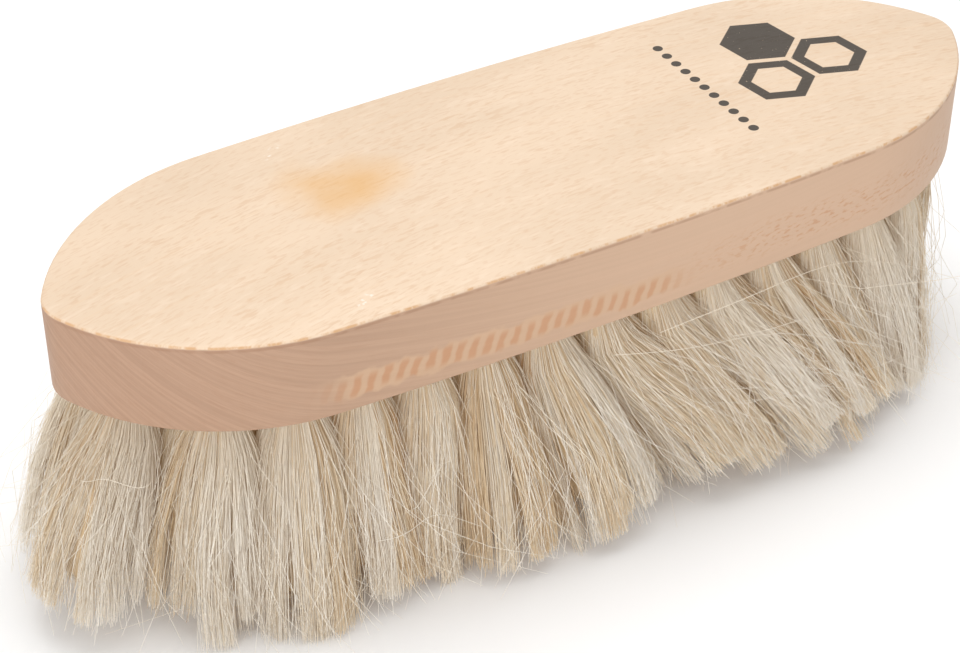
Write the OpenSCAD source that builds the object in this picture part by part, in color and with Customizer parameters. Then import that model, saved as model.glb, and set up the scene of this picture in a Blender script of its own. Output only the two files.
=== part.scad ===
// Hand brush without a handle: a boat-shaped beech block, filled from below with
// tufts of soft hair. Every tuft is folded over a round-wire staple and driven
// into its own blind hole. The brush stands on the tips of its hair, at z = 0,
// with its length along X.

/* [Block] */
// Length of the wooden block
block_l = 210; // [180:1:230]
// Width of the wooden block at the middle
block_w = 68; // [62:1:74]
// Thickness of the wooden block
block_t = 20; // [18:0.5:26]
// Radius of the nose at each end, seen from above
nose_r = 9; // [6:0.5:12]
// Half of the angle that the nose turns through, in degrees
nose_angle = 26; // [20:1:32]
// Half of the angle that each long side turns through, in degrees
side_angle = 2.5; // [1.5:0.5:5]

/* [Tufts] */
// Number of rows of tufts across the brush, odd so that one is at the middle
stations = 15; // [13:2:15]
// Distance between two rows along the brush
row_pitch = 13.2; // [12:0.1:13.2]
// Wanted distance between two tufts of a row
tuft_pitch = 12.5; // [11.5:0.1:13]
// Distance from the block's edge to the middle of the outermost holes
edge_gap = 9.3; // [8:0.1:11]
// Length of hair below the block
hair_l = 48; // [40:1:55]
// Radius of a tuft where it has opened out
tuft_r = 6.2; // [5:0.1:6.3]
// Outward lean of the outermost tufts, sideways, in degrees
lean_side = 8; // [4:1:9]
// Outward lean of the last row at each end, in degrees
lean_end = 12; // [4:1:13]

/* [Holes and staples] */
// Radius of a tuft hole
hole_r = 3.5; // [3:0.1:4]
// Depth of a tuft hole along its own axis
hole_depth = 12; // [10:0.5:13]
// Diameter of the staple wire
wire_d = 0.9; // [0.7:0.1:1.2]
// Radius of the staple's bend, at the middle of the wire
bend_r = 1.8; // [1.5:0.1:2.2]
// Height of the bend's middle above the mouth of the hole
bend_h = 6; // [4:0.5:8]
// How far the staple's legs go into the wood past the end of the hole
bite = 4; // [3:0.5:5]

/* [Hidden] */
$fn = 48;
// Facets of the large discs that the long sides are cut from
fine = 1440;
half_l = block_l / 2;
half_w = block_w / 2;

// The outline of a quarter of the block is three arcs that run into each other:
// nose, shoulder and long side. Their angles and the block's two sizes give the
// radii of the shoulder and of the side.
nose_s = sin(nose_angle);
nose_c = cos(nose_angle);
side_s = cos(side_angle);
side_c = sin(side_angle);
run_x = half_l - nose_r * (1 - nose_c);
run_y = half_w - nose_r * nose_s;
det = (nose_c - side_c) * (1 - side_s) - side_c * (side_s - nose_s);
shoulder_r = (run_x * (1 - side_s) - side_c * run_y) / det;
side_r = ((nose_c - side_c) * run_y - (side_s - nose_s) * run_x) / det;

// Centre of the shoulder arc, and where it meets the nose and the side
nose_x = half_l - nose_r;
shoulder_x = nose_x + (nose_r - shoulder_r) * nose_c;
shoulder_y = (nose_r - shoulder_r) * nose_s;
nose_join = nose_x + nose_r * nose_c;
side_join = shoulder_x + shoulder_r * side_c;

// Clearance past a surface, so that a cut goes right through it
over = 1;
// Straight stretch of a tuft below the block, before it opens out
neck_l = 1.5;
// Where a tuft has opened out to most of its width, and that width
bloom_l = 12;
bloom_r = tuft_r - 0.9;
// Middle row, and the two end rows' distance from it
mid = (stations - 1) / 2;
end_x = mid * row_pitch;

function two_digits(i) = i < 10 ? str("0", i) : str(i);
function tuft_name(i) = str("tuft_row_", two_digits(i));
function staple_name(i) = str("staple_row_", two_digits(i));

// Half of the block's width at x, or of an outline drawn in by inset all round
function half_width(x, inset = 0) =
    abs(x) > side_join
    ? shoulder_y + sqrt(pow(shoulder_r - inset, 2) - pow(abs(x) - shoulder_x, 2))
    : half_w - side_r + sqrt(pow(side_r - inset, 2) - x * x);

// Middle of a row along the brush, numbered from 1
function row_x(i) = (i - 1 - mid) * row_pitch;
// Half of the distance between a row's two outermost holes
function reach(i) = half_width(row_x(i), edge_gap);
function row_count(i) = 1 + round(2 * reach(i) / tuft_pitch);
function hole_y(i, j) = reach(i) * (2 * j / (row_count(i) - 1) - 1);
// Lean of a hole to the side and towards the end, in degrees
function lean_y(i, j) = lean_side * hole_y(i, j) / (half_w - edge_gap);
function lean_x(i) = lean_end * pow(row_x(i) / end_x, 3);

// Puts its children in each hole of a row, with the mouth of the hole at their
// origin and the hole running up from it
module each_hole(i) {
    for (j = [0:row_count(i) - 1])
        translate([row_x(i), hole_y(i, j), hair_l])
            rotate([lean_y(i, j), -lean_x(i), 0])
                children();
}

module slab(x0, x1) {
    translate([x0, -block_w, hair_l])
        cube([x1 - x0, 2 * block_w, block_t]);
}

// The overlap of two round discs whose centres lie on either side of the middle
module lens(x, r, y) {
    intersection() {
        translate([x, y, hair_l]) cylinder(r = r, h = block_t, $fn = fine);
        translate([x, -y, hair_l]) cylinder(r = r, h = block_t, $fn = fine);
    }
}

module block_end() {
    intersection() {
        lens(shoulder_x, shoulder_r, shoulder_y);
        slab(side_join, nose_join);
    }
    intersection() {
        translate([nose_x, 0, hair_l]) cylinder(r = nose_r, h = block_t);
        slab(nose_join, half_l + over);
    }
}

module block_blank() {
    intersection() {
        lens(0, side_r, half_w - side_r);
        slab(-side_join, side_join);
    }
    block_end();
    mirror([1, 0, 0]) block_end();
}

module hole() {
    // Below the mouth the cut runs on, so that a leaning hole opens fully
    translate([0, 0, -over])
        cylinder(r = hole_r, h = hole_depth + over);
    for (side = [-1, 1])
        translate([side * bend_r, 0, hole_depth - over])
            cylinder(d = wire_d, h = bite + over);
}

// A hairpin of round wire: a half-round bend below two straight legs
module staple() {
    translate([0, 0, bend_h])
        rotate([-90, 0, 0])
            rotate_extrude(angle = 180)
                translate([bend_r, 0]) circle(d = wire_d);
    for (side = [-1, 1])
        translate([side * bend_r, 0, bend_h])
            cylinder(d = wire_d, h = hole_depth + bite - bend_h);
}

// Hair from the end of the hole to past the tips
module tuft() {
    rotate_extrude()
        polygon([
            [0, hole_depth],
            [hole_r, hole_depth],
            [hole_r, -neck_l],
            [bloom_r, -bloom_l],
            [tuft_r, -hair_l - tuft_r],
            [0, -hair_l - tuft_r]
        ]);
}

module back_block() {
    color([0.97, 0.88, 0.76])
        difference() {
            block_blank();
            for (i = [1:stations]) each_hole(i) hole();
        }
}

module tuft_row(i) {
    color([0.88, 0.84, 0.76])
        difference() {
            each_hole(i) tuft();
            each_hole(i) staple();
            // The tips are trimmed level
            translate([-block_l, -block_w, -hair_l])
                cube([2 * block_l, 2 * block_w, hair_l]);
        }
}

module staple_row(i) {
    color([0.72, 0.72, 0.70])
        each_hole(i) staple();
}

back_block();
for (i = [1:stations]) {
    tuft_row(i);
    staple_row(i);
}
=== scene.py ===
# %% [markdown]
# # A hand brush of beech and soft hair
# The brush is a boat-shaped block of pale beech with no handle. Its underside holds
# rows of tufts of long cream hair, each folded over a staple in its own hole. This
# lesson dresses the packed model of that brush: the block gets softened edges and a
# beech finish, and every plain tuft is replaced by hundreds of single hairs.

# Drawing them again here would risk a second, different brush, so only their looks are
# made in this lesson.

# %% The frame and the tools
import math

import bmesh
import bpy
import numpy as np
from mathutils import Matrix, Vector


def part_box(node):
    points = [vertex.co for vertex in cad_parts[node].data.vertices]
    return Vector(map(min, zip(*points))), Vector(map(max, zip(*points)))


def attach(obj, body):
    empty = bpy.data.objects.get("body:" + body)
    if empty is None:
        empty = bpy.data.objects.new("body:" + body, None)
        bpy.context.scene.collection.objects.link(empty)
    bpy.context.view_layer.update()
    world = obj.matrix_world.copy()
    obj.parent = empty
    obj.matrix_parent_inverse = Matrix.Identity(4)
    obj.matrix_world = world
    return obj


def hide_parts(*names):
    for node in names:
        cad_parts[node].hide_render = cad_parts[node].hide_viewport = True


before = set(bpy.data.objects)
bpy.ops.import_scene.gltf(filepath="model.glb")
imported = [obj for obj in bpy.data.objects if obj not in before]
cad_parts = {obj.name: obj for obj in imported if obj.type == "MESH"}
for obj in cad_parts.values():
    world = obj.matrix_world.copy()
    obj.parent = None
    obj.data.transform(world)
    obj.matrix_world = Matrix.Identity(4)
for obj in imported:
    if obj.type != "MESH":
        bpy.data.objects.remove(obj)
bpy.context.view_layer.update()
MM = 0.001

# %% [markdown]
# The sizes that everything else follows come from the frame. The block's own box gives
# the height of its top and of its underside, where the hair leaves the wood.

# %% Heights that the pieces share
block_low, block_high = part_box("back_block")
top_z = block_high.z
mouth_z = block_low.z
print(f"the block lies between z {mouth_z:.3f} and {top_z:.3f} m")

# %% [markdown]
# ## Camera, light and floor
# A product picture is taken with a long lens from a little above. The camera is placed
# by the point it looks at, its distance and two angles, as a photographer would say it.

# %% Camera
LENS = 89.2
FOCUS = Vector((-0.0377, -0.0447, top_z))
VIEW_TURN, VIEW_RISE, VIEW_REACH = -29.6, 37.64, 0.4347


def look_from(focus, azimuth, elevation, distance):
    """A camera matrix: azimuth 0 looks along +Y, and elevation rises from level."""
    a, e = math.radians(azimuth), math.radians(elevation)
    away = Vector((math.sin(a) * math.cos(e), -math.cos(a) * math.cos(e), math.sin(e)))
    turn = away.to_track_quat("Z", "Y")
    return Matrix.Translation(focus + away * distance) @ turn.to_matrix().to_4x4()


camera = bpy.data.objects.new("camera", bpy.data.cameras.new("camera"))
bpy.context.scene.collection.objects.link(camera)
camera.data.lens = LENS
camera.data.sensor_width = 36
camera.data.clip_start = 0.01
camera.matrix_world = look_from(FOCUS, VIEW_TURN, VIEW_RISE, VIEW_REACH)
bpy.context.scene.camera = camera
bpy.context.scene.view_settings.view_transform = "Standard"
print("camera at", [round(v, 3) for v in camera.matrix_world.translation])

# %% [markdown]
# The light is a plain soft studio: an even white surround, a wide soft box overhead that
# makes the top of the wood the brightest face, and a weaker one near the camera.

# %% Lights
SURROUND = 0.68

world = bpy.data.worlds.new("white_surround")
world.use_nodes = True
world.node_tree.nodes["Background"].inputs["Color"].default_value = (1, 1, 1, 1)
world.node_tree.nodes["Background"].inputs["Strength"].default_value = SURROUND
bpy.context.scene.world = world


def soft_box(name, size, power, azimuth, elevation, distance):
    lamp = bpy.data.lights.new(name, "AREA")
    lamp.shape = "RECTANGLE"
    lamp.size, lamp.size_y = size
    lamp.energy = power
    box = bpy.data.objects.new(name, lamp)
    bpy.context.scene.collection.objects.link(box)
    box.matrix_world = look_from(Vector((0, 0, mouth_z)), azimuth, elevation, distance)
    return box


soft_box("overhead", (0.9, 0.7), 5.0, 150, 76, 0.9)
soft_box("front_fill", (0.7, 0.5), 4.3, -50, 12, 1.0)

# %% [markdown]
# The brush stands on a sheet of white paper that is so large that its edges are far away.
# One flat square is enough for that, because all it has to show is the brush's shadow.

# %% Floor
bm = bmesh.new()
bmesh.ops.create_grid(bm, x_segments=1, y_segments=1, size=3.0)
floor_mesh = bpy.data.meshes.new("floor")
bm.to_mesh(floor_mesh)
bm.free()
floor = bpy.data.objects.new("floor", floor_mesh)
bpy.context.scene.collection.objects.link(floor)
print("floor", [round(side, 2) for side in floor.dimensions])

# %% [markdown]
# ## Writing shader maths as sums
# A pattern in a material is arithmetic on places, and a tree of Math nodes hides that. A
# Value wraps one output socket, and adding or multiplying Values adds the Math nodes, so
# that a pattern reads as a sum. The same tree could be wired by hand, node by node, but
# then no one could see at a glance what it works out.

# %% A socket that can be added and multiplied
class Value:
    def __init__(self, finish, socket):
        self.finish, self.socket = finish, socket

    def _math(self, operation, *others):
        node = self.finish.node("ShaderNodeMath", {"operation": operation}, {0: self})
        for slot, other in enumerate(others, 1):
            self.finish.feed(node.inputs[slot], other)
        return Value(self.finish, node.outputs[0])

    def __add__(self, other):
        return self._math("ADD", other)

    def __sub__(self, other):
        return self._math("SUBTRACT", other)

    def __mul__(self, other):
        return self._math("MULTIPLY", other)

    def __rsub__(self, other):
        return self._math("MULTIPLY", -1.0) + other

    __radd__ = __add__
    __rmul__ = __mul__

    def power(self, other):
        return self._math("POWER", other)

    def size(self):
        return self._math("ABSOLUTE")

    def greatest(self, other):
        return self._math("MAXIMUM", other)

    def down(self):
        return self._math("FLOOR")

    def ramp(self, low, high):
        """0 below low and 1 above high, with a soft step between."""
        node = self.finish.node("ShaderNodeMapRange", {"interpolation_type": "SMOOTHSTEP"},
                                {"Value": self, "From Min": low, "From Max": high})
        return Value(self.finish, node.outputs["Result"])

    def bump_at(self, middle, width):
        """1 at the middle, falling softly to 0 at a width to either side."""
        return 1 - (self - middle).size().ramp(0.0, width)


print("a Value can", [name for name in vars(Value) if not name.startswith("_")])

# %% [markdown]
# A Finish is one material. Every node other than a Math node is made by its one method
# node, which takes the node's type, its settings, and what goes into its sockets. The
# settings come first, because some of them change which sockets there are.

# %% A finish
class Finish:
    """One material, and the few ways in which its nodes are made."""

    def __init__(self, name):
        self.material = bpy.data.materials.new(name)
        self.material.use_nodes = True
        self.tree = self.material.node_tree
        self.shader = self.tree.nodes["Principled BSDF"]

    def feed(self, socket, value):
        if isinstance(value, Value):
            self.tree.links.new(value.socket, socket)
        elif isinstance(value, bpy.types.NodeSocket):
            self.tree.links.new(value, socket)
        else:
            socket.default_value = value

    def node(self, kind, settings=None, inputs=None):
        node = self.tree.nodes.new(kind)
        for key, value in (settings or {}).items():
            setattr(node, key, value)
        for key, value in (inputs or {}).items():
            self.feed(node.inputs[key], value)
        return node

    def place(self):
        """The three Object coordinates, in millimetres."""
        coordinates = self.node("ShaderNodeTexCoord").outputs["Object"]
        scaled = self.node("ShaderNodeVectorMath", {"operation": "SCALE"},
                           {0: coordinates, "Scale": 1 / MM})
        split = self.node("ShaderNodeSeparateXYZ", None, {0: scaled.outputs[0]})
        return [Value(self, split.outputs[i]) for i in range(3)]

    def vector(self, x, y, z):
        return self.node("ShaderNodeCombineXYZ", None, {0: x, 1: y, 2: z}).outputs[0]

    def noise(self, x, y, z, detail=2.0, roughness=0.5):
        node = self.node("ShaderNodeTexNoise", None,
                         {"Vector": self.vector(x, y, z), "Scale": 1.0, "Detail": detail,
                          "Roughness": roughness})
        return Value(self, node.outputs["Fac"])

    def mix(self, factor, first, second):
        node = self.node("ShaderNodeMix", {"data_type": "RGBA"}, {0: factor})
        self.feed(node.inputs[6], first)
        self.feed(node.inputs[7], second)
        return node.outputs[2]

    def bump(self, height, strength, distance):
        node = self.node("ShaderNodeBump", None,
                         {"Height": height, "Strength": strength, "Distance": distance})
        self.feed(self.shader.inputs["Normal"], node.outputs[0])


print("a Finish can", [name for name in vars(Finish) if not name.startswith("_")])

# %% [markdown]
# A painter's swatch is read in steps of 0 to 255 that are even to the eye, while a shader
# works in amounts of light. One small function turns the first into the second, and the
# floor's paper is the first finish to use it.

# %% Colours, and the paper of the floor
def paint(red, green, blue):
    """A colour as a painter's swatch reads, 0 to 255, turned into linear light."""
    def linear(v):
        v /= 255
        return v / 12.92 if v <= 0.04045 else ((v + 0.055) / 1.055) ** 2.4
    return (linear(red), linear(green), linear(blue), 1.0)


floor_finish = Finish("floor_paper")
floor_finish.shader.inputs["Base Color"].default_value = paint(250, 250, 250)
floor_finish.shader.inputs["Roughness"].default_value = 0.9
floor_mesh.materials.append(floor_finish.material)
print("mid grey in linear light", round(paint(128, 128, 128)[0], 3))

# %% [markdown]
# ## The printed mark
# The back of the block is printed with one plain sign in dark ink: a piece of honeycomb,
# one cell of it filled, and a row of dots. A print has no thickness to speak of, so it is
# worked out as a mask in the wood's own finish. A cell is where three pairs of parallel
# sides all leave a point inside, and a dot repeats along a line by taking away whole steps.

# %% Printed mark
COMB_X, COMB_Y = 66, 4.5
COMB_R = 9.2
CELL_OUT, CELL_IN = 7.3, 4.8
DOTS_X, DOTS_Y = 44, 3.6
DOT_STEP, DOT_ROW = 3.6, 19.8
INK_EDGE = 0.1


def honey_mark(f, x, y):
    """Three six-sided cells, one of them filled, and a row of dots beside them."""
    ink = None
    for number, turn in enumerate((100, 220, 340)):
        centre_x = COMB_X + COMB_R * math.cos(math.radians(turn))
        centre_y = COMB_Y + COMB_R * math.sin(math.radians(turn))
        far = None
        for side in range(3):
            a = math.radians(turn + 30 + 60 * side)
            reach = ((x - centre_x) * math.cos(a) + (y - centre_y) * math.sin(a)).size()
            far = reach if far is None else far.greatest(reach)
        cell = 1 - far.ramp(CELL_OUT - INK_EDGE, CELL_OUT + INK_EDGE)
        if number:
            cell = cell * far.ramp(CELL_IN - INK_EDGE, CELL_IN + INK_EDGE)
        ink = cell if ink is None else ink.greatest(cell)
    along = y * (1 / DOT_STEP) + 0.5
    step = (along - along.down() - 0.5) * DOT_STEP
    dot = 1 - (step.power(2.0) + (x - DOTS_X).power(2.0)).ramp(1.1, 1.35)
    dot = dot * (1 - (y - DOTS_Y).size().ramp(DOT_ROW - INK_EDGE, DOT_ROW + INK_EDGE))
    return ink.greatest(dot)


print("mark: three cells of", 2 * CELL_OUT, "mm and dots every", DOT_STEP, "mm")

# %% [markdown]
# ## Beech
# Beech has three signs. On a flat-sawn face it is peppered with short fine dashes along
# the grain, where the rays are cut across. On the face at right angles the rays lie open
# as a ladder of orange and cream patches. And its growth rings are faint, close lines.
# All three are worked out from one grain direction, which sweeps gently along the block,
# so that the finish runs round the edges as real wood does.

# %% Grain
TOP = top_z / MM


def grain(x, y, z):
    """How far a place lies across the board, and which growth ring it lies in."""
    # The grain drifts sideways along the block, as in a slightly bowed board
    across = y - (x * 0.06 - x * x * 0.0012)
    ring = z * 0.74 - across * 0.67
    return across, ring


print("the top of the wood is at", round(TOP, 1), "mm")

# %% [markdown]
# The top is cream with paler clouds, and is covered with short dashes. Each kind of dash
# is one noise that is stretched along the grain, and only its peaks are kept. Drawing the
# dashes one by one would give the same look for far more work.

# %% Top face of the wood
def top_wood(f, x, z, across):
    clouds = f.noise(x * 0.02, across * 0.05, z * 0.2, 2.0)
    tone = f.mix(clouds.ramp(0.3, 0.7), paint(221, 197, 171), paint(228, 204, 178))
    lines = f.noise(x * 0.006, across * 0.9, 7.0, 2.0)
    tone = f.mix(lines.ramp(0.55, 0.75) * 0.25, tone, paint(222, 188, 150))
    dashes = f.noise(x * 0.3, across * 1.45, z * 0.3, 1.0)
    strong = f.noise(x * 0.03, across * 0.08, 3.0, 1.0).ramp(0.3, 0.62)
    dash = dashes.ramp(0.55, 0.68)
    tone = f.mix(dash * (strong * 0.22 + 0.16), tone, paint(208, 172, 138))
    small = f.noise(x * 0.5, across * 2.1, 21.0, 0.0).ramp(0.6, 0.7)
    tone = f.mix(small * 0.3, tone, paint(212, 178, 146))
    pale = f.noise(x * 0.2, across * 1.0, z * 0.3 + 11, 1.0).ramp(0.56, 0.72)
    tone = f.mix(pale * 0.15, tone, paint(244, 226, 206))
    return tone, dashes, dash


# %% [markdown]
# The block has been handled. A soft yellow smudge is a blurred oval whose edge a noise
# makes uneven, and each of two pale scuffs is a flaky patch in a slanting lozenge. The
# print lies over them, with small gaps where the ink did not take.

# %% Smudge, scuffs and print
SMUDGE_X, SMUDGE_Y = -40, 9
SCUFFS = [(-46, 26.4), (-52.3, -27.2)]


def wear_and_print(f, x, y, tone):
    smudge_r = (x - SMUDGE_X).power(2.0) * 0.0040 + (y - SMUDGE_Y).power(2.0) * 0.0065
    smudge_edge = f.noise(x * 0.06, y * 0.07, 5.0, 3.0)
    smudge = 1 - (smudge_r + smudge_edge * 1.7).ramp(0.3, 1.9)
    tone = f.mix(smudge * 0.9, tone, paint(219, 172, 112))
    for scuff_x, scuff_y in SCUFFS:
        along = ((x - scuff_x) * 0.22 + (y - scuff_y) * 0.16).size()
        beside = ((x - scuff_x) * 0.5 - (y - scuff_y) * 0.7).size()
        near = 1 - along.greatest(beside).ramp(0.3, 1.0)
        flake = f.noise(x * 0.9, y * 0.9, scuff_y, 2.0).ramp(0.45, 0.6)
        tone = f.mix(near * flake * 0.7, tone, paint(246, 238, 228))
    ink = honey_mark(f, x, y)
    speckle = f.noise(x * 2.2, y * 2.2, 1.0, 1.0).ramp(0.2, 0.27)
    return f.mix(ink * speckle * 0.95, tone, paint(58, 53, 48))


print("smudge round", (SMUDGE_X, SMUDGE_Y), "and scuffs at", SCUFFS)

# %% [markdown]
# The sides are pinker and darker than the top: partly the side grain's own colour, partly
# painted shade of faces that take less light. They are also painted lighter towards the +x
# end and darker towards the other, painted light and shade as the light falls along the
# brush. They show the growth rings as close lines, and low on the long walls the open rays
# as a ladder: a pale band with slanting orange rungs. A rung is a repeat along x, so its
# number is the whole part of a division, and a noise of that number makes each rung a little
# different.

# %% Side face of the wood
RUNG = 3.1
RUNG_Z, BAND_Z, FLECK_Z = 53.0, 53.4, 55.5


def side_wood(f, x, z, ring):
    rings = f.noise(x * 0.012, ring * 1.5, ring * 0.2, 2.0)
    # Darker than the top: partly the side grain's colour, partly painted shade of the sides
    tone = f.mix(rings.ramp(0.3, 0.7), paint(165, 132, 109), paint(176, 142, 118))
    fine_rings = f.noise(x * 0.04, ring * 4.2, z * 0.5, 2.0, 0.6)
    tone = f.mix(fine_rings.ramp(0.48, 0.7) * 0.35, tone, paint(158, 120, 95))
    # Painted light and shade: lighter towards +x, darker towards the other end
    return f.mix(x.ramp(-105, 32) * 0.75, tone, paint(213, 181, 154)), fine_rings


def open_rays(f, x, y, z, wobble, tone):
    """The ladder of rungs in its pale band, and the flecks that carry it on."""
    bend = f.noise(x * 0.3, z * 0.35, 2.0, 1.0)
    run = (x + z * -0.3 + bend * 1.3) * (1 / RUNG)
    rung = run.down()
    luck = f.noise(rung * 7.3, 4.0, 1.0, 0.0)
    thin = (run - rung - 0.5).size() + luck * 0.16
    tall = (z - (RUNG_Z - x * 0.008) + (luck - 0.5) * 5.0).size() - luck * 1.2
    orange = (1 - thin.ramp(0.22, 0.46)) * (1 - tall.ramp(0.6, 2.6))
    band = (z - (BAND_Z - x * 0.008) + (wobble - 0.5) * 4.0).size()
    ladder = (1 - band.ramp(2.0, 3.2)) * x.bump_at(-24, 48).ramp(0.0, 0.25)
    ray_tone = f.mix(orange, paint(201, 167, 137), paint(192, 141, 103))
    tone = f.mix(ladder * 0.7, tone, ray_tone)
    flecks = f.noise(x * 0.55 - z * 0.3, z * 1.2, y * 0.03, 2.0).ramp(0.5, 0.68)
    fleck_band = (1 - (z - FLECK_Z).size().ramp(1.5, 6.0)) * x.ramp(5, 40)
    return f.mix(flecks * fleck_band * 0.6, tone, paint(190, 137, 98))


print("the ladder has a rung every", RUNG, "mm")

# %% [markdown]
# The beech finish brings the faces together. The height of a place says whether it is on
# the top or on a side. Between them the sanded rim is worn to a warmer tan, and a thin
# line of painted shade runs just under it.

# %% Beech finish
UNDER_RIM, RIM = 1.1, 0.36


def beech(name):
    f = Finish(name)
    x, y, z = f.place()
    across, ring = grain(x, y, z)
    top_tone, dashes, dash = top_wood(f, x, z, across)
    top_tone = wear_and_print(f, x, y, top_tone)

    side_tone, fine_rings = side_wood(f, x, z, ring)
    wobble = f.noise(x * 0.3, z * 0.3, y * 0.05, 2.0)
    side_tone = open_rays(f, x, y, z, wobble, side_tone)
    # Painted shade: a thin dark line just under the rim, broken up by a noise
    under = 1 - (z - (TOP - UNDER_RIM)).size().ramp(0.1, 0.5)
    side_tone = f.mix(under * wobble.ramp(0.3, 0.55) * 0.45, side_tone, paint(150, 112, 84))

    is_top = z.ramp(TOP - 0.75, TOP - 0.35)
    tone = f.mix(is_top, side_tone, top_tone)
    rim = 1 - (z - (TOP - RIM)).size().ramp(0.1, 0.34)
    broken = f.noise(x * 0.35, y * 0.35, 2.0, 3.0, 0.7)
    tone = f.mix(rim * broken.ramp(0.40, 0.6) * 0.8, tone, paint(204, 158, 112))

    f.feed(f.shader.inputs["Base Color"], tone)
    f.feed(f.shader.inputs["Roughness"], 0.52 + dash * 0.1)
    f.bump(dashes * 0.5 + fine_rings * 0.4, 0.25, 0.0001)
    f.shader.inputs["Specular IOR Level"].default_value = 0.3
    return f


beech_finish = beech("beech")
print("beech uses", len(beech_finish.tree.nodes), "nodes")

# %% [markdown]
# ## The block
# The packed block has dead sharp rims. A real one is sanded, so its rims are rounded by
# about half a millimetre, and that small highlight is what makes it look like wood. The
# shape is right otherwise, holes and all, so a copy of it is cleaned up and its two rims
# are bevelled, in place of drawing it again.

# %% Softened block
SOFT_TOP, SOFT_UNDER = 0.6 * MM, 0.4 * MM
WALL_TALL = 15 * MM


def flat_copy(node):
    """A node's mesh with its loose triangles joined into clean flat faces."""
    bm = bmesh.new()
    bm.from_mesh(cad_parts[node].data)
    bmesh.ops.remove_doubles(bm, verts=bm.verts, dist=0.002 * MM)
    bmesh.ops.dissolve_limit(bm, angle_limit=math.radians(0.5), verts=bm.verts,
                             edges=bm.edges)
    return bm


def rim_edges(bm, height):
    """The edges at a height where a level face meets the block's outer wall."""
    found = []
    for edge in bm.edges:
        if any(abs(v.co.z - height) > 0.01 * MM for v in edge.verts):
            continue
        if len(edge.link_faces) != 2:
            continue
        tilts = sorted(abs(face.normal.z) for face in edge.link_faces)
        wall = min(edge.link_faces, key=lambda face: abs(face.normal.z))
        centre = (edge.verts[0].co + edge.verts[1].co) / 2
        if tilts[0] < 0.1 and tilts[1] > 0.9 and wall.normal.xy.dot(centre.xy) > 0:
            tall = max(v.co.z for v in wall.verts) - min(v.co.z for v in wall.verts)
            if tall > WALL_TALL:
                found.append(edge)
    return found


def as_object(bm, name, finish):
    mesh = bpy.data.meshes.new(name)
    bm.to_mesh(mesh)
    bm.free()
    mesh.materials.clear()
    mesh.materials.append(finish.material)
    piece = bpy.data.objects.new(name, mesh)
    bpy.context.scene.collection.objects.link(piece)
    return piece


bm = flat_copy("back_block")
for height, softness in ((top_z, SOFT_TOP), (mouth_z, SOFT_UNDER)):
    rim = rim_edges(bm, height)
    print("rim at", round(height, 4), "has", len(rim), "edges")
    bmesh.ops.bevel(bm, geom=rim, offset=softness, offset_type="OFFSET", segments=3,
                    profile=0.5, affect="EDGES", material=-1)
for face in bm.faces:
    face.smooth = True
for edge in bm.edges:
    edge.smooth = len(edge.link_faces) == 2 and edge.calc_face_angle(0) < math.radians(35)
block = as_object(bm, "wooden_block", beech_finish)
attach(block, "root")
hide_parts("back_block")
print("block", len(block.data.polygons), "faces")

# %% [markdown]
# ## Staples
# The staples sit inside the wood and never show, but they are real pieces, so they get a
# drawn-wire finish too.

# %% Staple wire
wire = Finish("staple_wire")
wx, wy, wz = wire.place()
drawn = wire.noise(wx * 9, wy * 9, wz * 0.6, 2.0)
wire.feed(wire.shader.inputs["Base Color"],
          wire.mix(drawn, paint(176, 176, 172), paint(206, 206, 200)))
wire.shader.inputs["Metallic"].default_value = 1.0
wire.shader.inputs["Roughness"].default_value = 0.35
for name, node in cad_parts.items():
    if name.startswith("staple_row"):
        node.data.materials.clear()
        node.data.materials.append(wire.material)
print("wire on", sum(name.startswith("staple_row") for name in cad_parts), "rows")

# %% [markdown]
# ## Hair
# Goat hair is fine and soft. It leaves the hole as a tight bundle, opens out within a
# centimetre, and then falls in loose locks. Particle hair would render well but leaves no
# mesh to keep, so each hair is a curve with a three-sided section that thins towards the
# tip. Shades differ from hair to hair: ivory and cream, with tan streaks. Light passes
# through such fine hair and warms its shadows, and a faint warm glow stands in for that.

# %% Hair finish
ROOT_FADE = 26
GLOW, GLOW_STRENGTH = paint(238, 192, 140), 0.06


def hair(name, root, tip):
    f = Finish(name)
    x, y, z = f.place()
    mouth = mouth_z / MM
    # Darker and warmer towards the root: partly the hair's own colour, partly painted shade of
    # the crowded roots under the wood
    root_tone_and_shade = z.ramp(mouth - ROOT_FADE, mouth - 1)
    streak = f.noise(x * 1.1, y * 1.1, z * 0.05, 2.0)
    body = f.mix(streak.ramp(0.3, 0.75) * 0.5, tip, root)
    tone = f.mix(root_tone_and_shade * 0.6, body, root)
    f.feed(f.shader.inputs["Base Color"], tone)
    f.shader.inputs["Roughness"].default_value = 0.6
    f.shader.inputs["Specular IOR Level"].default_value = 0.25
    f.shader.inputs["Emission Color"].default_value = GLOW
    f.shader.inputs["Emission Strength"].default_value = GLOW_STRENGTH
    return f


SHADES = [
    hair("hair_ivory", paint(228, 216, 195), paint(239, 235, 226)),
    hair("hair_cream", paint(220, 199, 168), paint(231, 220, 199)),
    hair("hair_straw", paint(206, 177, 138), paint(220, 199, 166)),
    hair("hair_tan", paint(189, 151, 110), paint(206, 174, 134)),
]

# %% [markdown]
# Under the single hairs each tuft has a packed middle. Its streaks run along the tuft,
# so they are placed by the core's own UV map, roughly in millimetres: round the tuft in
# one direction and down it in the other. In Object coordinates they would run straight
# through the bends of a tuft. A single smooth body stands for thousands of hidden hairs.

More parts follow.
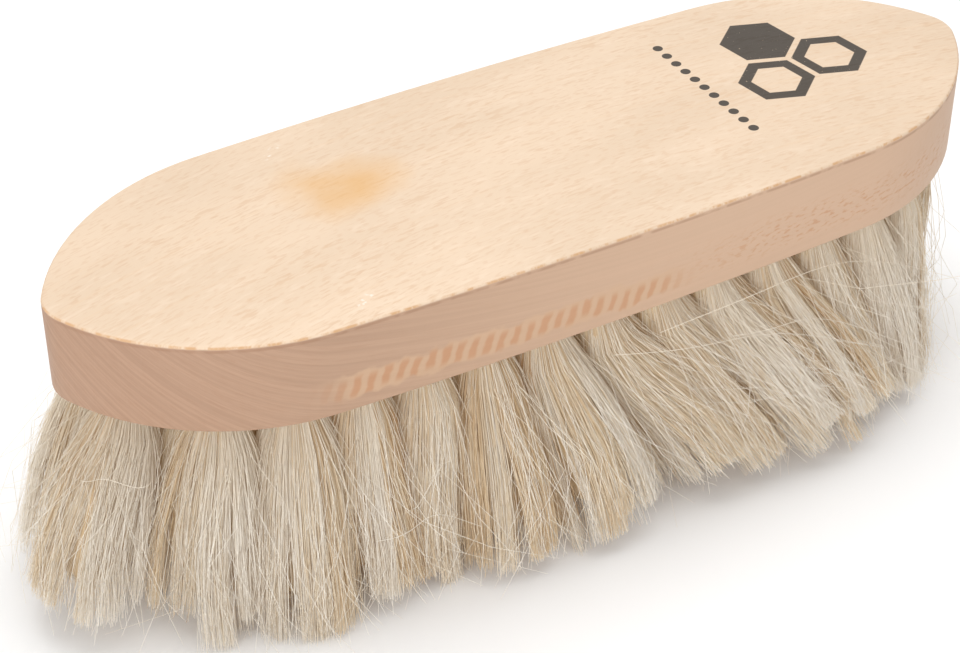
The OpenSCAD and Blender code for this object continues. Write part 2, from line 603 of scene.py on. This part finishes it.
# %% Core finish
def packed_hair():
    f = Finish("hair_core")
    uv = f.node("ShaderNodeUVMap", {"uv_map": "along_hair"})
    split = f.node("ShaderNodeSeparateXYZ", None, {0: uv.outputs[0]})
    u, v = [Value(f, split.outputs[i]) for i in range(2)]
    broad = f.noise(u * 0.35, v * 0.02, 1.0, 2.0)
    fine = f.noise(u * 3.2, v * 0.06, 4.0, 2.0)
    # Hair colours, darker and warmer in the fine streaks: partly the hairs' own shades, partly
    # painted shade between the hidden hairs
    tone = f.mix(broad.ramp(0.35, 0.7), paint(224, 207, 177), paint(208, 180, 140))
    tone = f.mix(fine.ramp(0.45, 0.75) * 0.6, tone, paint(176, 140, 100))
    tone = f.mix(fine.ramp(0.25, 0.45), paint(236, 223, 198), tone)
    f.feed(f.shader.inputs["Base Color"], tone)
    f.shader.inputs["Roughness"].default_value = 0.7
    f.shader.inputs["Specular IOR Level"].default_value = 0.2
    f.bump(fine, 0.6, 0.0004)
    return f


SHADES.append(packed_hair())
print("hair finishes", [shade.material.name for shade in SHADES])

# %% [markdown]
# The tufts are where the packed model has them. Each row's tufts are found from the
# plain solids, one loose part each, and a part's own top and bottom give the direction in
# which its hole leans. Reading them keeps the hair in its holes if the packed model
# changes, which a list of places written here would not.

# %% Tufts of a row
def tufts_of(node):
    """For every tuft of a row: the middle of its hole's mouth, and its axis downwards."""
    bm = bmesh.new()
    bm.from_mesh(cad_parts[node].data)
    bmesh.ops.remove_doubles(bm, verts=bm.verts, dist=0.002 * MM)
    todo, found = set(bm.verts), []
    while todo:
        part, edge_of_part = set(), [todo.pop()]
        while edge_of_part:
            vert = edge_of_part.pop()
            part.add(vert)
            for edge in vert.link_edges:
                other = edge.other_vert(vert)
                if other in todo:
                    todo.discard(other)
                    edge_of_part.append(other)
        level = min(v.co.z for v in part)
        tips = [v.co for v in part if v.co.z < level + 0.01 * MM]
        tops = [v.co for v in part if v.co.z > mouth_z + 9 * MM]
        foot = (Vector(map(max, zip(*tips))) + Vector(map(min, zip(*tips)))) / 2
        head = (Vector(map(max, zip(*tops))) + Vector(map(min, zip(*tops)))) / 2
        axis = (foot - head).normalized()
        found.append((head + axis * ((mouth_z - head.z) / axis.z), axis))
    bm.free()
    return sorted(found, key=lambda tuft: tuft[0].y)


rows = sorted(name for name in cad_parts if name.startswith("tuft_row"))
tufts = {name: tufts_of(name) for name in rows}
print("tufts in each row", [len(t) for t in tufts.values()])
print("first tuft", [[round(c, 4) for c in v] for v in tufts[rows[0]][0]])

# %% [markdown]
# Hair does not all fall straight. Handling has combed it one way along the brush: it
# parts near the middle, sweeps towards one end and fans out at the other. The fall is
# given at a few places along the brush as how far the tips have moved, in millimetres,
# and is read between them. Letting gravity and a comb do it would take a simulation.

# %% How the hair falls
END_X = 85 * MM
FALL_AT = [-105, -90, -75, -60, -40, -27, -14, 0, 10, 24, 38, 52, 66, 80, 100]
FALL_BY = [-18, -15, -5, -3, -3, -1, 9, 19, 24, 24, 20, 13, 6, -2, -15]
OUT_AT = [-93, -80, -66, -53, -40, -26, 0, 26, 50, 93]
OUT_BY = [10, 11, 3.5, 7, 4, 11, 9, 12, 10, 9]
HAIR_L = 48.5 * MM
HOLE_R = 3.4 * MM
THICK = 0.055 * MM


def fall(place, side):
    """The direction of a tuft's lower half. side is -1 at the front and 1 at the rear."""
    along = np.interp(place.x / MM, FALL_AT, FALL_BY) * MM
    along *= 1.0 if side < 0.2 else 0.55
    out = np.interp(place.x / MM, OUT_AT, OUT_BY) * MM * side
    drop = math.sqrt(max(HAIR_L ** 2 - along ** 2 - out ** 2, (0.5 * HAIR_L) ** 2))
    return Vector((along * 1.3, out * 1.3, -drop)).normalized()


print("the middle tuft of the front falls towards", [round(v, 2) for v in fall(Vector(), -1)])

# %% [markdown]
# A tuft's middle line leaves its hole along the hole's own axis and bends softly into its
# fall, and then hangs a little steeper towards the tips. Its width opens quickly below the
# hole and slowly after that. The core and the hairs read the same line and width, at
# different numbers of steps, so that they never part.

# %% Line and width of a tuft
BEND_END = 0.4


class Tuft:
    """The path and the width of one tuft, which its core and its hairs both follow."""

    def __init__(self, mouth, axis, side, rng):
        self.mouth, self.axis, self.side = np.array(mouth), np.array(axis), side
        self.final = np.array(fall(mouth, side) + Vector(rng.normal(0, 0.05, 3)))
        along = mouth.x / MM
        self.length = HAIR_L * rng.uniform(0.98, 1.02)
        self.length *= np.interp(along, [-93, -70, -50, 60, 93],
                                 [0.93, 0.97, 0.99, 0.99, 0.92])
        self.spread = np.interp(along, [-93, 0, 50, 93], [4.4, 4.0, 3.0, 0.6]) * MM
        self.wide = rng.uniform(7.6, 8.6) * np.interp(along, [30, 93], [1.0, 0.76]) * MM
        swept = abs(self.final[0]) > 0.25 and mouth.x > -END_X
        self.droop = np.array([0.25, 0.4, 0.0]) if swept else np.array([0.6, 0.75, 0.0])

    def walk(self, steps):
        """Fill in the path at a number of evenly spaced steps."""
        s = np.linspace(0, 1, steps)
        turn = np.clip(s / BEND_END, 0, 1)
        turn = (turn * turn * (3 - 2 * turn))[:, None]
        direction = self.axis[None] * (1 - turn) + self.final[None] * turn
        droop = (np.clip((s - BEND_END) / (1 - BEND_END), 0, 1) ** 1.5)[:, None]
        direction = direction * (1 - droop * self.droop)
        direction /= np.linalg.norm(direction, axis=1)[:, None]
        pace = (direction[1:] + direction[:-1]) / 2 * self.length / (steps - 1)
        self.centre = self.mouth[None] + np.vstack([np.zeros((1, 3)), np.cumsum(pace, axis=0)])
        self.across = np.array([1.0, 0, 0]) - direction * direction[:, :1]
        self.across /= np.linalg.norm(self.across, axis=1)[:, None]
        self.outward = np.cross(direction, self.across)
        self.direction = direction
        self.radius = HOLE_R + (self.wide - HOLE_R) * (1 - np.exp(-s * 6))
        self.radius = self.radius + self.spread * s ** 1.5
        self.s = s

    def lay(self, flat):
        """Places in the tuft's cross-section turned into points in space."""
        return self.centre + flat[..., :1] * self.across + flat[..., 1:] * self.outward


print("a hair is", HAIR_L / MM, "mm long from a hole of radius", round(HOLE_R / MM, 1), "mm")

# %% [markdown]
# Where a hair leaves the tuft is a place in a round disc. More hairs stand near its rim
# than in its middle, and more on the side that faces out of the brush, because only those
# are seen. Then each is drawn a little towards the nearest lock, more so near its tip.

# %% Places of the hairs in a tuft
LOCKS = 16


def hair_places(tuft, count, outer, rng):
    """A place in the disc for each hair, and how far out it is."""
    reach = np.where(rng.uniform(0, 1, count) < 0.8, rng.uniform(0.92, 1.05, count),
                     np.sqrt(rng.uniform(0, 1, count)))
    way_x = np.sign(tuft.mouth[0]) * (abs(tuft.mouth[0]) > END_X)
    way_y = 0.7 * np.sign(tuft.side) if way_x else tuft.side
    facing = 1.6 if outer else 1.0
    angle = math.atan2(-way_y, way_x) + (math.pi * rng.choice([-1, 1], count)
                                         * rng.uniform(0, 1, count) ** facing)
    return np.stack([reach * np.cos(angle), reach * np.sin(angle)], 1), reach


def into_locks(tuft, disc, rng):
    """The hairs' flat paths down the tuft, and each hair's lock and the lock's length."""
    lock_reach = np.sqrt(rng.uniform(0.3, 1, LOCKS))
    lock_angle = rng.uniform(0, 2 * math.pi, LOCKS)
    lock_disc = np.stack([lock_reach * np.cos(lock_angle), lock_reach * np.sin(lock_angle)], 1)
    nearest = ((disc[:, None] - lock_disc[None]) ** 2).sum(2).argmin(1)
    lock_drift = rng.normal(0, 0.10, (LOCKS, 2))
    lock_length = rng.normal(0, 0.045, LOCKS)
    gather = 0.04 + 0.22 * tuft.s ** 2
    flat = disc[:, None] * (1 - gather[None, :, None])
    flat = flat + (lock_disc + lock_drift)[nearest][:, None] * gather[None, :, None]
    return flat * tuft.radius[None, :, None], nearest, lock_length[nearest]


print("each tuft parts into", LOCKS, "locks")

# %% [markdown]
# No hair is straight. A lock has one slow wave that all its hairs share, and each hair
# has a small wave of its own, which a few flyaways have much larger. The tips were cut
# nearly level, and hairs that would stray too far are drawn softly back.

# %% Single hairs of a tuft
LOCK_WAVE = 1.0 * MM
FLYAWAY = 7.0


def swing(s, size, slow, quick, many, rng):
    """Sideways waves that grow down the tuft, one for each of many."""
    cycles = rng.uniform(slow, quick, many)[:, None, None]
    phase = rng.uniform(0, 2 * math.pi, (many, 1, 2))
    wave = np.sin(2 * math.pi * cycles * s[None, :, None] + phase) - np.sin(phase)
    return wave * size * (s ** 1.2)[None, :, None]


def settle(points):
    """Draw hairs that stray far out of the brush softly back towards it."""
    for axis, free, room in ((0, 112 * MM, 8 * MM), (1, 42 * MM, 6.5 * MM)):
        beyond = np.maximum(np.abs(points[..., axis]) - free, 0)
        near = np.clip(points[..., axis], -free, free)
        points[..., axis] = near + np.sign(near) * room * np.tanh(beyond / room)
    return points


def cut_off(points, reach, lock_length, rng):
    """Hairs shortened to a nearly level end, with some short ones, above the ground."""
    count = len(points)
    cut = 1.02 - np.abs(rng.normal(0, 0.045, count)) - 0.02 * reach ** 3
    cut = cut + lock_length
    short = rng.uniform(0, 1, count) < 0.2
    cut = np.where(short, cut * rng.uniform(0.55, 0.97, count), cut)
    root = points[:, :1]
    drop = root[:, 0, 2] - points[:, -1, 2]
    cut = np.minimum(cut, (root[:, 0, 2] - 0.2 * MM) / np.maximum(drop, 1e-6))
    return settle(root + (points - root) * cut[:, None, None])


def tuft_hairs(tuft, count, steps, outer, rng):
    """Points of every hair of a tuft, hairs by steps by 3, and a shade for each."""
    tuft.walk(steps)
    disc, reach = hair_places(tuft, count, outer, rng)
    flat, nearest, lock_length = into_locks(tuft, disc, rng)
    along = tuft.mouth[0] / MM

    flat = flat + swing(tuft.s, LOCK_WAVE, 0.4, 1.0, LOCKS, rng)[nearest]
    wild = rng.uniform(0, 1, count) < np.interp(along, [50, 93], [0.06, 0.02])
    size = rng.gamma(2.0, 0.35, count) * MM * np.where(wild, FLYAWAY, 1.0)
    flat = flat * np.where(wild, 1.12, 1.0)[:, None, None]
    flat = flat + swing(tuft.s, size[:, None, None], 0.4, 1.5, count, rng)
    points = cut_off(tuft.lay(flat), reach, lock_length, rng)

    # Hairs of one lock are alike. Those deep in the tuft are painted warmer, as painted shade
    # among the hairs, and those at the far ends paler, as painted light
    warmth = rng.beta(1.3, 2.4, LOCKS)[nearest] * 0.7 + rng.uniform(0, 1, count) * 0.4
    warmth = warmth - np.interp(along, [-90, -60, 40, 90], [0.32, -0.05, -0.06, 0.19])
    warmth = warmth + np.clip(0.9 - reach, 0, 1) * 0.9
    shade = np.where(wild, 0, np.digitize(warmth, [0.42, 0.68, 0.90]))
    return points, shade


print("a flyaway is", FLYAWAY, "times as wavy as other hairs")

# %% [markdown]
# The core is a flat sheet of squares that is rolled up: one way across the sheet becomes
# the way round the tuft, and the other the way down it. The sheet's seam is merged and
# its two ends are filled, so the body is closed. Rolling a sheet keeps the squares in
# step with the streaks, which a cylinder turned along the path would not do as simply.

# %% Core of a tuft
AROUND, DOWN = 24, 11
CORE_STEPS = 13
STREAK_WIDE, STREAK_LONG = 2.6, 4.0


def core_rings(tuft, rng):
    """Where each ring of the core lies: steps down by places round by 3."""
    turn = np.arange(AROUND) * 2 * math.pi / AROUND
    lump_at, lump_twist = rng.uniform(0, 6, 2), rng.uniform(-1.5, 1.5, 2)
    thick = tuft.radius * np.interp(tuft.s, [0, 0.1, 0.55, 0.92], [0.95, 0.93, 0.79, 0.5])
    ragged = rng.uniform(-4.5, 1.5, AROUND) * MM
    rings = []
    for step in range(DOWN + 1):
        s = tuft.s[step]
        lumps = 1 + 0.05 * s * np.sin(turn * 4 + lump_at[0] + lump_twist[0] * s)
        lumps = lumps + 0.035 * s * np.sin(turn * 7 + lump_at[1] + lump_twist[1] * s)
        close = 0.55 if step == DOWN else 1.0
        flat = np.stack([np.cos(turn), np.sin(turn)], 1) * (thick[step] * lumps)[:, None]
        spot = tuft.centre[step] + close * (flat[:, :1] * tuft.across[step]
                                            + flat[:, 1:] * tuft.outward[step])
        if step >= DOWN - 2:
            spot = spot + (ragged * (step - DOWN + 3) / 3)[:, None] * tuft.direction[step]
        rings.append(spot)
    return rings


def tuft_core(bm, tuft, rng):
    """The packed middle of a tuft, as one closed lumpy body that the hairs hide."""
    tuft.walk(CORE_STEPS)
    rings = core_rings(tuft, rng)
    shift = rng.uniform(0, 500)
    uv = bm.loops.layers.uv.verify()
    sheet = bmesh.ops.create_grid(bm, x_segments=AROUND, y_segments=DOWN, size=1.0)["verts"]
    low = min(vert.co.x for vert in sheet)
    high = max(vert.co.x for vert in sheet)
    spots = {}
    for vert in sheet:
        spots[vert] = (round((vert.co.x - low) / (high - low) * AROUND),
                       round((vert.co.y - low) / (high - low) * DOWN))
    for vert, (i, step) in spots.items():
        for loop in vert.link_loops:
            loop[uv].uv = (shift + i * STREAK_WIDE, step * STREAK_LONG)
        vert.co = rings[step][i % AROUND]
    bmesh.ops.remove_doubles(bm, verts=sheet, dist=0.0001 * MM)
    ends = [edge for edge in bm.edges if edge.is_boundary]
    bmesh.ops.holes_fill(bm, edges=ends, sides=AROUND)


print("a core is", AROUND, "squares round and", DOWN, "down")

# %% [markdown]
# A few long loose hairs have worked out of the tufts and lie across the others. Each is
# one shallow arc, given by its two ends and by how far its middle rises, in millimetres.

# %% Loose hairs
LOOSE = [
    ((4, -43, 49), (88, -33, 26), 9),
    ((-7, -43, 48), (60, -43, 25), 3),
    ((20, -44, 44), (70, -41, 20), 4),
    ((-102, -18, 44), (-114, -20, 14), 2),
    ((-108, -17, 41), (-97, -26, 42), -1.5),
    ((-58, -40, 20), (-36, -41, 16), 3),
]
LOOSE_STEPS, LOOSE_THICK = 14, 1.4


def loose_hairs():
    t = np.linspace(0, 1, LOOSE_STEPS)[None, :, None]
    start, end, rise = (np.array(part, float) for part in zip(*LOOSE))
    arc = start[:, None] * (1 - t) + end[:, None] * t
    arc[..., 2] += rise[:, None] * np.sin(math.pi * t[..., 0])
    arc[..., 1] += 1.5 * np.sin(2.4 * math.pi * t[..., 0] + rise[:, None])
    return arc * MM, np.zeros(len(LOOSE), int)


print(len(LOOSE), "long loose hairs")

# %% [markdown]
# A row of tufts is one piece. Its hairs are all splines of one curve, which is given its
# section and turned into a mesh, and the cores are added to that. Making a mesh of every
# hair by itself and joining them would give the same row, but far more slowly.

# %% One piece of hair
section = bpy.data.curves.new("hair_section", "CURVE")
corner = section.splines.new("POLY")
corner.points.add(2)
for i in range(3):
    turn = 2 * math.pi * i / 3
    corner.points[i].co = (THICK * math.cos(turn), THICK * math.sin(turn), 0, 1)
corner.use_cyclic_u = True
section_object = bpy.data.objects.new("hair_section", section)


def hair_piece(name, batches, cores):
    """One mesh from the cores and from batches of hairs, with a shade for each hair."""
    curve = bpy.data.curves.new(name, "CURVE")
    curve.dimensions = "3D"
    curve.bevel_mode = "OBJECT"
    curve.bevel_object = section_object
    curve.use_fill_caps = True
    for shade in SHADES:
        curve.materials.append(shade.material)
    for points, shades in batches:
        steps = points.shape[1]
        loose = LOOSE_THICK if steps == LOOSE_STEPS else 1.0
        taper = loose * np.interp(np.linspace(0, 1, steps), [0, 0.7, 1], [1.0, 1.0, 0.65])
        for line, shade in zip(points, shades):
            spline = curve.splines.new("POLY")
            spline.points.add(steps - 1)
            spline.points.foreach_set("co", np.c_[line, np.ones(steps)].ravel())
            spline.points.foreach_set("radius", taper)
            spline.material_index = int(shade)
    curve_object = bpy.data.objects.new(name + "_curve", curve)
    bpy.context.scene.collection.objects.link(curve_object)
    graph = bpy.context.evaluated_depsgraph_get()
    mesh = bpy.data.meshes.new_from_object(curve_object.evaluated_get(graph))
    bpy.data.objects.remove(curve_object)
    bpy.data.curves.remove(curve)
    mesh.name = name
    for face in cores.faces:
        face.smooth = True
        face.material_index = len(SHADES) - 1
    bmesh.ops.recalc_face_normals(cores, faces=cores.faces)
    cores.from_mesh(mesh)
    cores.to_mesh(mesh)
    mesh.uv_layers[0].name = "along_hair"
    cores.free()
    piece = bpy.data.objects.new(name, mesh)
    bpy.context.scene.collection.objects.link(piece)
    return piece


print("a hair is", 2 * THICK / MM, "mm thick")

# %% [markdown]
# Most hairs go where they are seen. The front tuft of a row has the most, those at the
# rear and at the ends half as many, and those that others hide only a few hundred.

# %% Rows of hair
FRONT, REAR, INNER = (1750, 6), (900, 6), (300, 5)
SIDE_Y = 24.7 * MM

total = 0
for number, row in enumerate(rows, 1):
    rng = np.random.default_rng(100 + number)
    batches, cores = [], bmesh.new()
    for place, (mouth, axis) in enumerate(tufts[row]):
        last = len(tufts[row]) - 1
        outer = place in (0, last) or number in (1, len(rows))
        side = float(np.clip(mouth.y / SIDE_Y, -1, 1))
        count, steps = FRONT if place == 0 else REAR if outer else INNER
        tuft = Tuft(mouth, axis, side, rng)
        batches.append(tuft_hairs(tuft, count, steps, outer, rng))
        tuft_core(cores, tuft, rng)
    if number == len(rows) // 2 + 1:
        batches.append(loose_hairs())
    piece = hair_piece(f"hair_row_{number:02d}", batches, cores)
    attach(piece, "root")
    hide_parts(row)
    piece.data.calc_loop_triangles()
    total += len(piece.data.loop_triangles)
    print(piece.name, len(piece.data.loop_triangles), "triangles")
print("hair in all", total, "triangles")
staples = sum(len(p.vertices) - 2 for n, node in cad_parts.items()
              if n.startswith("staple_row") for p in node.data.polygons)
print("staples", staples, "triangles")

# %% [markdown]
# ## Sizes
# Soft hair may stand a little outside the plain parts, but only a little.
